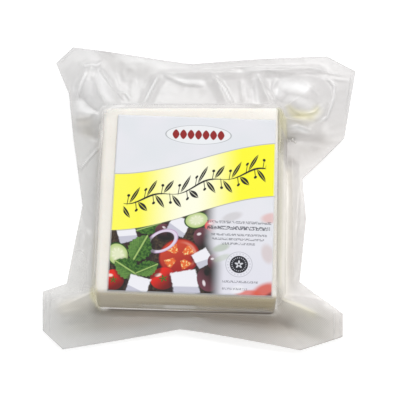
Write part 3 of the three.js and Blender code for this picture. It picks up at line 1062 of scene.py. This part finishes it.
class Picture:
    """A printed picture built up shape by shape, in millimetres from the middle of the label."""

    def __init__(self, look, u, v, grain, colour):
        self.look = look
        self.u = u
        self.v = v
        self.grain = grain
        self.colour = colour

    def lay(self, share, colour):
        self.colour = self.look.blend(share, self.colour, colour)

    def turned(self, centre, radii, degrees):
        """Coordinates that run from -1 to 1 across an ellipse, and the distance that is 1 on its rim."""
        cosine = math.cos(math.radians(degrees))
        sine = math.sin(math.radians(degrees))
        across = self.u - centre[0]
        up = self.v - centre[1]
        a = (across * cosine + up * sine) / radii[0]
        b = (up * cosine - across * sine) / radii[1]
        return a, b, (a * a + b * b).root()

    def shadow(self, centre, radii, degrees):
        reach = self.turned((centre[0] + 0.9, centre[1] - 1.1), radii, degrees)[2]
        self.lay(inside(reach, 1.05, 0.14) * 0.7, ink(46, 36, 34))

    def cucumber(self, centre, radii, degrees):
        a, b, reach = self.turned(centre, radii, degrees)
        self.lay(inside(reach), ink(50, 84, 40))
        flesh = self.look.blend(reach.ramp(0.3, 0.9), ink(228, 234, 198), ink(186, 208, 134))
        self.lay(inside(reach, 0.88), flesh)
        seeds = (b.angle(a) * 9.0).sin().ramp(0.2, 0.8) * band(reach, 0.3, 0.55, 0.06)
        self.lay(seeds * 0.65, ink(244, 244, 220))

    def tomato_slice(self, centre, radii, degrees):
        a, b, reach = self.turned(centre, radii, degrees)
        self.shadow(centre, radii, degrees)
        self.lay(inside(reach), ink(150, 20, 14))
        flesh = self.look.blend(b.ramp(-1.0, 1.0), ink(160, 40, 28), ink(204, 76, 54))
        self.lay(inside(reach, 0.94), flesh)
        spokes = (b.angle(a) * 4.0 + 0.6).sin().ramp(-0.25, 0.3)
        pulp = spokes * band(reach, 0.28, 0.74, 0.06)
        self.lay(pulp, ink(232, 112, 58))
        self.lay(pulp * self.grain.ramp(0.53, 0.6), ink(250, 218, 150))
        self.lay(band(reach, 0.74, 0.86, 0.05) * a.ramp(0.2, 0.9) * 0.5, ink(255, 190, 170))

    def round_tomato(self, centre, radii, degrees):
        a, b, reach = self.turned(centre, radii, degrees)
        self.shadow(centre, radii, degrees)
        lit = b - a * 0.6
        self.lay(inside(reach), self.look.blend(lit.ramp(-1.0, 0.9), ink(112, 8, 6), ink(232, 52, 34)))
        shine = ((a + 0.32) * (a + 0.32) * 5.0 + (b - 0.42) * (b - 0.42) * 14.0).root()
        self.lay(inside(shine, 0.55, 0.25) * 0.85, ink(255, 232, 222))
        star = reach * 3.4 - (b.angle(a) * 5.0).sin() * 0.45
        self.lay(inside(star, 0.7, 0.15), ink(70, 104, 44))

    def olive(self, centre, radii, degrees):
        a, b, reach = self.turned(centre, radii, degrees)
        self.shadow(centre, radii, degrees)
        lit = b - a * 0.5
        self.lay(inside(reach), self.look.blend(lit.ramp(-0.9, 1.0), ink(34, 14, 22), ink(112, 68, 78)))
        self.lay(inside(((a - 0.55) * (a - 0.55) * 5.0 + b * b * 7.0).root(), 0.6, 0.2), ink(26, 10, 16))
        shine = ((a + 0.25) * (a + 0.25) * 9.0 + (b - 0.45) * (b - 0.45) * 30.0).root()
        self.lay(inside(shine, 0.7, 0.3) * 0.85, ink(245, 236, 240))

    def leaf(self, centre, radii, degrees):
        a, b, _ = self.turned(centre, radii, degrees)
        self.shadow(centre, radii, degrees)
        side = abs(b)
        blade = 1.0 - a * a - side + (a * 26.0).sin() * 0.05
        green = self.look.blend(self.grain.ramp(0.35, 0.65), ink(40, 78, 34), ink(88, 132, 60))
        green = self.look.blend(b.ramp(-0.2, 0.5) * 0.5, green, ink(124, 166, 88))
        self.lay(blade.ramp(0.0, 0.1), green)
        ribs = ((side * 1.4 - a) * 4.0).part()
        self.lay(blade.ramp(0.05, 0.15) * inside(abs(ribs - 0.5), 0.09, 0.06) * 0.5, ink(44, 80, 36))
        self.lay(blade.ramp(0.0, 0.1) * inside(side, 0.06, 0.04), ink(168, 196, 116))

    def cube(self, centre, size, degrees):
        a, b, _ = self.turned(centre, (size, size), degrees)
        self.lay(inside(abs(a + 0.12).most(abs(b + 0.2)), 1.1, 0.16) * 0.6, ink(60, 50, 56))
        wear = (self.grain - 0.5) * 0.25
        face = abs(a).most(abs(b)) + wear
        shade = self.look.blend((b + a * 0.2).ramp(-0.36, -0.24), ink(200, 200, 214), ink(240, 240, 246))
        self.lay(inside(face, 1.0, 0.07), shade)

    def onion_ring(self, centre, radii, degrees):
        reach = self.turned(centre, radii, degrees)[2]
        self.lay(band(reach, 0.76, 1.0, 0.04), ink(226, 214, 234))
        self.lay(band(reach, 0.95, 1.0, 0.03) * 0.7, ink(176, 122, 176))

    def petal(self, centre, radii, degrees, colour, share):
        reach = self.turned(centre, radii, degrees)[2]
        self.lay(inside(reach, 0.85, 0.3) * share, colour)


def paint_band(picture):
    """The yellow band with its lines and, in place of lettering, a sprig."""
    look, u, v = picture.look, picture.u, picture.v
    top = wave(u, 3.5) * 10.2 + 25.0
    foot = band_foot(u)
    picture.lay(band(v - top, -0.1, 0.5, 0.2) * 0.6, ink(150, 150, 148))
    picture.lay(band(v - foot, -0.5, 0.1, 0.2) * 0.55, ink(120, 116, 96))
    pale = u.ramp(-32.0, -2.0) * (1.0 - u.ramp(0.0, 25.0))
    left = 1.0 - u.ramp(-40.0, -8.0)
    yellow = look.blend(pale.most(left * 0.1), ink(255, 251, 58), ink(255, 255, 232))
    picture.lay((v - foot).ramp(-0.12, 0.12) * (top - v).ramp(-0.12, 0.12), yellow)
    dark = ink(44, 34, 8)
    span = band(u, -35.5, 36.5, 0.5)
    stem = v - wave(u, 2.0) * 10.6 - 10.0 - (u * 0.24).sin() * 1.5
    thick = (u * 0.24 + 0.9).sin() * 0.2 + 0.36
    picture.lay(span * inside(abs(stem) / thick, 1.0, 0.3), dark)
    for shift, side in ((0.0, 1.0), (0.5, -1.0)):
        step = u / SPRIG_STEP + shift
        along = (step.part() - 0.5) * SPRIG_STEP
        up = stem * side - 4.1
        a = (along * 0.55 + up * 0.83) / 4.5
        b = (up * 0.55 - along * 0.83) / 1.15
        blade = 1.0 - a * a - abs(b)
        picture.lay(span * blade.ramp(-0.04, 0.12), dark)
        picture.lay(span * blade.ramp(0.1, 0.25) * inside(abs(b), 0.1, 0.08) * 0.75, yellow)
        fruit = ((along + 3.1) ** 2.0 + (stem * side - 4.6) ** 2.0).root()
        picture.lay(span * inside(fruit, 0.78, 0.14), dark)
        stalk = (stem * side - 2.0) / 2.2
        slim = abs(along + 3.4 - stalk * 0.3) / 0.2
        picture.lay(span * inside(slim.most(abs(stalk)), 1.0, 0.5), dark)


def paint_salad(picture):
    """A salad in simple shapes, crowded on the left and fading out to the right."""
    look, u, v, grain = picture.look, picture.u, picture.v, picture.grain
    below = (band_foot(u) - v).ramp(-0.1, 0.1)
    clean = picture.colour
    gaps = look.blend(grain.ramp(0.35, 0.7), ink(52, 42, 44), ink(88, 76, 60))
    picture.lay(below, gaps)
    picture.cube((-33.0, -17.5), 4.6, 18)
    picture.leaf((-22.0, -13.5), (7.0, 4.4), 20)
    picture.olive((-14.0, -16.0), (5.0, 4.2), -30)
    picture.cube((-7.0, -12.5), 4.8, -24)
    picture.cucumber((2.0, -9.0), (6.4, 4.6), 14)
    picture.round_tomato((10.5, -12.0), (4.2, 3.8), 0)
    picture.olive((5.5, -18.5), (4.6, 5.6), 20)
    picture.cucumber((-37.0, -29.0), (5.6, 6.8), 30)
    picture.round_tomato((-38.5, -42.5), (5.4, 5.4), 0)
    picture.tomato_slice((-6.0, -29.0), (10.4, 9.4), 24)
    picture.onion_ring((-15.0, -21.0), (8.8, 5.6), 32)
    picture.cube((5.8, -29.5), 4.2, 32)
    picture.round_tomato((-13.5, -41.0), (6.6, 5.8), 15)
    picture.leaf((-26.0, -25.5), (8.6, 6.2), 64)
    picture.leaf((-31.5, -36.5), (8.4, 5.6), 148)
    picture.leaf((-22.0, -36.0), (6.4, 4.4), 206)
    picture.cube((-26.0, -45.6), 5.2, -14)
    picture.cube((-2.5, -43.0), 6.4, 12)
    picture.olive((9.0, -40.5), (6.6, 5.6), 104)
    picture.olive((12.0, -31.5), (3.6, 4.6), 10)
    shift = v.ramp(-34.0, -20.0) * 4.5
    pale = (u + shift).ramp(9.5, 17.5)
    picture.lay(pale, clean)
    for centre, radii, turn, colour, share in FAR_PETALS:
        picture.petal(centre, radii, turn, ink(*colour), share)
    picture.colour = look.blend(below, clean, picture.colour)


def paint_badge(picture):
    """A pale oval with a row of red lozenges in place of a name."""
    a, b, reach = picture.turned(BADGE_CENTRE, BADGE_RADII, 0)
    picture.lay(inside(reach, 1.0, 0.02), ink(164, 168, 170))
    picture.lay(inside(reach, 0.97, 0.02), ink(238, 240, 243))
    across = a * BADGE_RADII[0]
    up = abs(b * BADGE_RADII[1])
    cell = ((across / LOZENGE_STEP + 0.5).part() - 0.5) * LOZENGE_STEP
    row = band(across, -LOZENGE_ROW, LOZENGE_ROW, 0.05)
    lozenge = (abs(cell) / LOZENGE_RADII[0]) ** 1.5 + (up / LOZENGE_RADII[1]) ** 1.5
    picture.lay(row * inside(lozenge, 1.0, 0.12), ink(150, 4, 18))


def paint_small_print(picture):
    """Rows of short bars in place of words, and a plain round mark."""
    u, v = picture.u, picture.v
    for height, start, end, tall, dark in SMALL_PRINT:
        spot = picture.look.add("ShaderNodeCombineXYZ", None, u, v * 0.8 + height * 7.3, 0.0).outputs[0]
        blots = picture.look.noise(spot, 1.15 / tall ** 0.5, 1.0)
        row = band(u, start, end, 0.15) * band(v, height - tall, height + tall, 0.2)
        picture.lay(row * blots.ramp(0.4, 0.54) * dark, ink(60, 62, 74))
    a, b, reach = picture.turned((24.2, -32.1), (1.0, 1.0), 0)
    picture.lay(band(reach, 6.5, 6.8, 0.12) * 0.6, ink(150, 152, 162))
    ticks = (b.angle(a) * 22.0).sin().ramp(0.0, 0.6)
    picture.lay(band(reach, 5.3, 5.9, 0.12) * ticks * 0.35, ink(120, 122, 134))
    picture.lay(inside(reach, 4.6, 0.14), ink(38, 40, 50))
    picture.lay(band(reach, 3.2, 3.8, 0.12) * ticks * 0.8, ink(200, 202, 210))
    flower = reach - (b.angle(a) * 5.0).sin() * 0.7
    picture.lay(inside(flower, 1.5, 0.2), ink(214, 216, 222))
    picture.lay(inside(reach, 0.55, 0.15), ink(38, 40, 50))


def label_finish():
    look = Look("printed_label")
    uv = look.add("ShaderNodeUVMap", {"uv_map": "print"}).outputs[0]
    split = look.add("ShaderNodeSeparateXYZ", None, uv)
    u = (Field(look, split.outputs[0]) - 0.5) * LABEL_WIDTH
    v = (Field(look, split.outputs[1]) - 0.5) * LABEL_LENGTH
    flat = look.add("ShaderNodeCombineXYZ", None, u, v, 0.0).outputs[0]
    grain = look.noise(flat, 0.75, 3.0, 0.6)
    cloud = look.noise(flat, 0.05, 1.0)
    field = look.blend(cloud.ramp(0.3, 0.7), ink(228, 231, 236), ink(233, 233, 239))
    field = look.blend((v * -1.0).ramp(0.0, 46.0) * 0.8, field, ink(228, 227, 238))
    picture = Picture(look, u, v, grain, field)
    paint_salad(picture)
    paint_band(picture)
    paint_badge(picture)
    paint_small_print(picture)
    rim = (LABEL_WIDTH / 2 - abs(u)).least(LABEL_LENGTH / 2 - abs(v))
    picture.lay(inside(rim, 0.45, 0.2) * 0.55, ink(238, 239, 240))
    fine = look.noise(flat, 2.5, 2.0)
    surface = look.add("ShaderNodeBsdfPrincipled", None, Base_Color=picture.colour, Roughness=0.5,
                       Normal=look.bump(fine, 0.08, 0.0001), Specular_IOR_Level=0.25)
    return look.finish(surface.outputs[0])


# The other pieces

def make_cheese(material):
    """The block: a cube of many cells, rounded at its edges and cut a little crumbly."""
    far_left, far_right = BLOCK_CORNERS["far_left"], BLOCK_CORNERS["far_right"]
    near_left, near_right = BLOCK_CORNERS["near_left"], BLOCK_CORNERS["near_right"]
    depth_left = far_left[1] - near_left[1]
    depth_right = far_right[1] - near_right[1]
    recipe = Recipe("cheese_block", {
        "half_width": (far_right[0] + near_right[0] - far_left[0] - near_left[0]) / 4 - CHEESE_INSET,
        "half_depth": (depth_left + depth_right) / 4 - CHEESE_INSET,
        "half_height": (BLOCK_HEIGHT - 2 * FILM_GAP) / 2,
        "radius": CHEESE_RADIUS,
        "centre_x": sum(x for x, _ in BLOCK_CORNERS.values()) / 4,
        "centre_y": sum(y for _, y in BLOCK_CORNERS.values()) / 4,
        "widening": (depth_right - depth_left) / (depth_right + depth_left) / (BLOCK_WIDTH / 2),
        "slant": (far_right[1] + near_right[1] - far_left[1] - near_left[1]) / 2 / BLOCK_WIDTH,
        "crumb": CHEESE_CRUMB,
        "crowding": EDGE_CROWDING,
    })
    cube = recipe.add("GeometryNodeMeshCube", None, (2.0, 2.0, 2.0), *CHEESE_CELLS)
    x, y, z = recipe.position()
    radius = recipe.number("radius")
    crowding = recipe.number("crowding")
    whole, inner = [], []
    for place, half in ((x, "half_width"), (y, "half_depth"), (z, "half_height")):
        reach = recipe.number(half)
        eased = (place * (math.pi / 2)).sin() * crowding + place * (1.0 - crowding)
        whole.append(eased * reach)
        inner.append((eased * reach).least(reach - radius).most(radius - reach))
    away = recipe.reckon("SUBTRACT", recipe.vector(*whole), recipe.vector(*inner))
    way = recipe.reckon("NORMALIZE", away)
    coarse = recipe.add("ShaderNodeTexNoise", None, Vector=recipe.vector(*whole), Scale=0.11, Detail=3.0)
    fine = recipe.add("ShaderNodeTexNoise", None, Vector=recipe.vector(*whole), Scale=0.9, Detail=2.0)
    dent = Field(recipe, coarse.outputs[0]) * 1.3 + Field(recipe, fine.outputs[0]) * 0.7
    push = recipe.reckon("SCALE", way, Scale=radius - dent * recipe.number("crumb"))
    rounded = recipe.reckon("ADD", recipe.vector(*inner), push)
    split = recipe.add("ShaderNodeSeparateXYZ", None, rounded)
    across, along, up = (Field(recipe, split.outputs[axis]) for axis in "XYZ")
    target = recipe.vector(
        across + recipe.number("centre_x"),
        along * (across * recipe.number("widening") + 1.0) + across * recipe.number("slant")
        + recipe.number("centre_y"),
        up + recipe.number("half_height") + FILM_GAP,
    )
    moved = recipe.add("GeometryNodeSetPosition", None, Geometry=cube.outputs[0], Position=target)
    recipe.finish(moved.outputs[0], material)
    return recipe.grow("cheese_block", material)


def make_whey(material):
    """Whey that stands between the film and the block, as closed strips that thin out at their ends."""
    rings = Rings(WHEY_STEP)
    shares = block_distance(rings.edge[:, 0], rings.edge[:, 1])[1]
    lean = by_side(shares, FILM_LEAN)
    beside = rings.plan(share_at_distance(rings.core, rings.edge, 1.0))
    amount = np.zeros(len(beside))
    for path, width, share in WHEY_PLACES:
        away = beside_path(path, beside[:, 0], beside[:, 1])[0]
        amount = np.maximum(amount, share * (1 - smooth(away / (width + 2))))
    amount = amount * shares["right"] * smooth((beside[:, 1] - WHEY_NEAR_END) / WHEY_NEAR_FADE)
    least, more = WHEY_REACH
    gap_below, gap_above = WHEY_GAPS
    reach = np.minimum(lean * 0.7, least + amount * more)
    sections = []
    for k in range(WHEY_CELLS + 1):
        out = mix(0.05, reach, k / WHEY_CELLS)
        plan = rings.plan(share_at_distance(rings.core, rings.edge, out))
        beyond = rings.plan(share_at_distance(rings.core, rings.edge, out + 0.6))
        top = np.minimum(film_height(*plan.T), film_height(*beyond.T)) - gap_above
        foot = underside_height(plan[:, 0], plan[:, 1]) + gap_below
        thin = mix(0.5, 1.0, smooth(amount / 0.3))
        middle = (top + foot) / 2
        top = np.maximum(mix(middle, top, thin), foot + 0.1)
        sections.append((plan, top, foot))
    count = len(beside)
    wet = amount > WHEY_LEAST
    ring = 2 * (WHEY_CELLS + 1)
    points, faces = [], []
    for i in range(count):
        for plan, top, foot in sections:
            points.append((plan[i, 0] * MM, plan[i, 1] * MM, top[i] * MM))
        for plan, top, foot in reversed(sections):
            points.append((plan[i, 0] * MM, plan[i, 1] * MM, foot[i] * MM))
    for i in range(count):
        j = (i + 1) % count
        if wet[i] and wet[j]:
            for k in range(ring):
                after = (k + 1) % ring
                faces.append((i * ring + k, j * ring + k, j * ring + after, i * ring + after))
        elif wet[i]:
            faces.append(tuple(i * ring + k for k in range(ring)))
        elif wet[j]:
            faces.append(tuple(j * ring + k for k in reversed(range(ring))))
    used = sorted({index for face in faces for index in face})
    new_index = {old: new for new, old in enumerate(used)}
    points = [points[old] for old in used]
    faces = [tuple(new_index[index] for index in face) for face in faces]
    return plain_piece("whey", points, faces, material)


def make_bubbles(material):
    """Small bubbles caught under the film beside the far right corner."""
    x, y, spread_x, spread_y = BUBBLE_PLACE
    height = float(film_height(np.array([x]), np.array([y]))[0])
    recipe = Recipe("bubbles", {
        "count": BUBBLE_COUNT, "centre_x": x, "centre_y": y, "height": height - 0.7,
        "spread_x": spread_x, "spread_y": spread_y, "least": BUBBLE_RADII[0], "most": BUBBLE_RADII[1],
    })
    aside, along = recipe.number("spread_x"), recipe.number("spread_y")
    low = recipe.vector(0.0 - aside, 0.0 - along, -0.4)
    high = recipe.vector(aside, along, 0.5)
    spread = recipe.add("FunctionNodeRandomValue", {"data_type": "FLOAT_VECTOR"})
    recipe.put(spread.inputs[0], low)
    recipe.put(spread.inputs[1], high)
    recipe.put(spread.inputs["Seed"], 5)
    centre = recipe.vector(recipe.number("centre_x"), recipe.number("centre_y"), recipe.number("height"))
    place = recipe.reckon("ADD", centre, spread.outputs[0])
    spots = recipe.add("GeometryNodePoints", None, Count=recipe.number("count"), Position=place)
    size = recipe.add("FunctionNodeRandomValue", {"data_type": "FLOAT"})
    recipe.put(size.inputs[2], recipe.number("least"))
    recipe.put(size.inputs[3], recipe.number("most"))
    recipe.put(size.inputs["Seed"], 8)
    ball = recipe.add("GeometryNodeMeshUVSphere", None, 14, 9, 1.0)
    many = recipe.add("GeometryNodeInstanceOnPoints", None, Points=spots.outputs[0],
                      Instance=ball.outputs[0], Scale=size.outputs[1])
    recipe.finish(many.outputs[0], material)
    return recipe.grow("bubbles", material)


def make_seal_ribs(material):
    """Thin ribs of the heat seals at the sides of the ears, swept along lines that follow the film."""
    points, edges = [], []
    for start, end in SEAL_LINES:
        steps = max(2, round(math.dist(start, end) / 1.2))
        share = np.linspace(0, 1, steps + 1)
        x = mix(start[0], end[0], share)
        y = mix(start[1], end[1], share)
        first = len(points)
        points += list(zip(x, y, film_height(x, y) + 0.02))
        edges += [(first + k, first + k + 1) for k in range(steps)]
    base = bpy.data.meshes.new("seal_lines")
    base.from_pydata(points, edges, [])
    recipe = Recipe("seal_ribs", {"radius": SEAL_RADIUS, "worn": SEAL_WEAR})
    line = recipe.add("GeometryNodeMeshToCurve", None, Mesh=recipe.inlet.outputs["Geometry"]).outputs[0]
    even = recipe.add("GeometryNodeResampleCurve", None, Curve=line, Count=32).outputs[0]
    spot = recipe.add("GeometryNodeInputPosition").outputs[0]
    noise = recipe.add("ShaderNodeTexNoise", None, Vector=spot, Scale=0.35, Detail=2.0)
    width = recipe.number("radius") * (Field(recipe, noise.outputs[0]) * recipe.number("worn") + 0.75)
    sized = recipe.add("GeometryNodeSetCurveRadius", None, Curve=even, Radius=width).outputs[0]
    ring = recipe.add("GeometryNodeCurvePrimitiveCircle", None, Resolution=8, Radius=1.0).outputs[0]
    swept = recipe.add("GeometryNodeCurveToMesh", None, Curve=sized, Profile_Curve=ring, Fill_Caps=True)
    for socket in swept.inputs:
        if socket.name == "Scale":
            recipe.put(socket, recipe.add("GeometryNodeInputRadius").outputs[0])
    recipe.finish(swept.outputs[0], material)
    return recipe.grow("seal_ribs", material, base)


def make_label(material):
    """A thin sheet of small cells, with the place of each in the print as its UV map."""
    across, along = LABEL_CELLS
    points, faces, flat = [], [], []
    for layer, height in enumerate(LABEL_FACES):
        start = len(points)
        for j in range(along + 1):
            for i in range(across + 1):
                u = (i / across - 0.5) * LABEL_WIDTH
                v = (j / along - 0.5) * LABEL_LENGTH
                x = LABEL_CENTRE[0] + u * math.cos(LABEL_TURN) - v * math.sin(LABEL_TURN)
                y = LABEL_CENTRE[1] + u * math.sin(LABEL_TURN) + v * math.cos(LABEL_TURN)
                points.append((x * MM, y * MM, height * MM))
                flat.append((i / across, j / along))
        for j in range(along):
            for i in range(across):
                a = start + j * (across + 1) + i
                quad = (a, a + 1, a + across + 2, a + across + 1)
                faces.append(quad if layer == 0 else quad[::-1])
    row = across + 1
    below = row * (along + 1)
    border = list(range(across))
    border += [across + j * row for j in range(along)]
    border += [along * row + i for i in range(across, 0, -1)]
    border += [j * row for j in range(along, 0, -1)]
    for a, b in zip(border, border[1:] + border[:1]):
        faces.append((a, a + below, b + below, b))
    label = plain_piece("label_sheet", points, faces, material)
    uv = label.data.uv_layers.new(name="print")
    corners = np.empty(len(label.data.loops), dtype=np.int32)
    label.data.loops.foreach_get("vertex_index", corners)
    uv.data.foreach_set("uv", np.array(flat, dtype=np.float32)[corners].ravel())
    return label


film = make_film(film_finish())
cheese = make_cheese(cheese_finish())
label = make_label(label_finish())
whey = make_whey(whey_finish())
bubbles = make_bubbles(bubble_finish())
seal_ribs = make_seal_ribs(seal_finish())

for piece in (film, cheese, label, whey, bubbles, seal_ribs):
    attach(piece, "root")
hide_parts("pouch")
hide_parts("label")


# Floor, light and camera

def make_floor():
    look = Look("pale_floor")
    grey = (FLOOR_GREY, FLOOR_GREY, FLOOR_GREY, 1.0)
    matt = look.add("ShaderNodeBsdfDiffuse", None, grey).outputs[0]
    glow = look.add("ShaderNodeEmission", None, (1, 1, 1, 1), FLOOR_GLOW).outputs[0]
    surface = look.add("ShaderNodeAddShader", None, matt, glow).outputs[0]
    reach = 6000
    corners = [(-reach, -reach), (reach, -reach), (reach, reach), (-reach, reach)]
    floor = plain_piece("floor", [(x * MM, y * MM, -0.05 * MM) for x, y in corners], [(0, 1, 2, 3)],
                        look.finish(surface))


def make_sun(name, azimuth, elevation, strength, spread):
    """A soft lamp, with its azimuth from +Y towards +X, in degrees."""
    lamp = bpy.data.lights.new(name, "SUN")
    lamp.energy = strength
    lamp.angle = math.radians(spread)
    piece = bpy.data.objects.new(name, lamp)
    a, e = math.radians(azimuth), math.radians(elevation)
    towards = Vector((math.sin(a) * math.cos(e), math.cos(a) * math.cos(e), math.sin(e)))
    piece.rotation_euler = towards.to_track_quat("Z", "Y").to_euler()
    bpy.context.scene.collection.objects.link(piece)


def make_camera():
    back = Vector((
        math.sin(CAMERA_AZIMUTH) * math.cos(CAMERA_ELEVATION),
        -math.cos(CAMERA_AZIMUTH) * math.cos(CAMERA_ELEVATION),
        math.sin(CAMERA_ELEVATION),
    ))
    right = Vector((math.cos(CAMERA_AZIMUTH), math.sin(CAMERA_AZIMUTH), 0))
    up = back.cross(right)
    camera = bpy.data.cameras.new("camera")
    camera.lens = CAMERA_LENS
    camera.sensor_width = 36.0
    camera.clip_start = 0.01
    camera.clip_end = 50.0
    piece = bpy.data.objects.new("camera", camera)
    turn = Matrix((right, up, back)).transposed().to_4x4()
    piece.matrix_world = Matrix.Translation((Vector(AIM) + back * CAMERA_DISTANCE) * MM) @ turn
    bpy.context.scene.collection.objects.link(piece)
    bpy.context.scene.camera = piece


make_floor()
for lamp in LAMPS:
    make_sun(*lamp)
world = bpy.data.worlds.new("studio")
world.use_nodes = True
background = world.node_tree.nodes["Background"]
background.inputs["Color"].default_value = (1.0, 1.0, 1.0, 1.0)
background.inputs["Strength"].default_value = WORLD_LIGHT
bpy.context.scene.world = world
bpy.context.scene.view_settings.view_transform = "Standard"
make_camera()
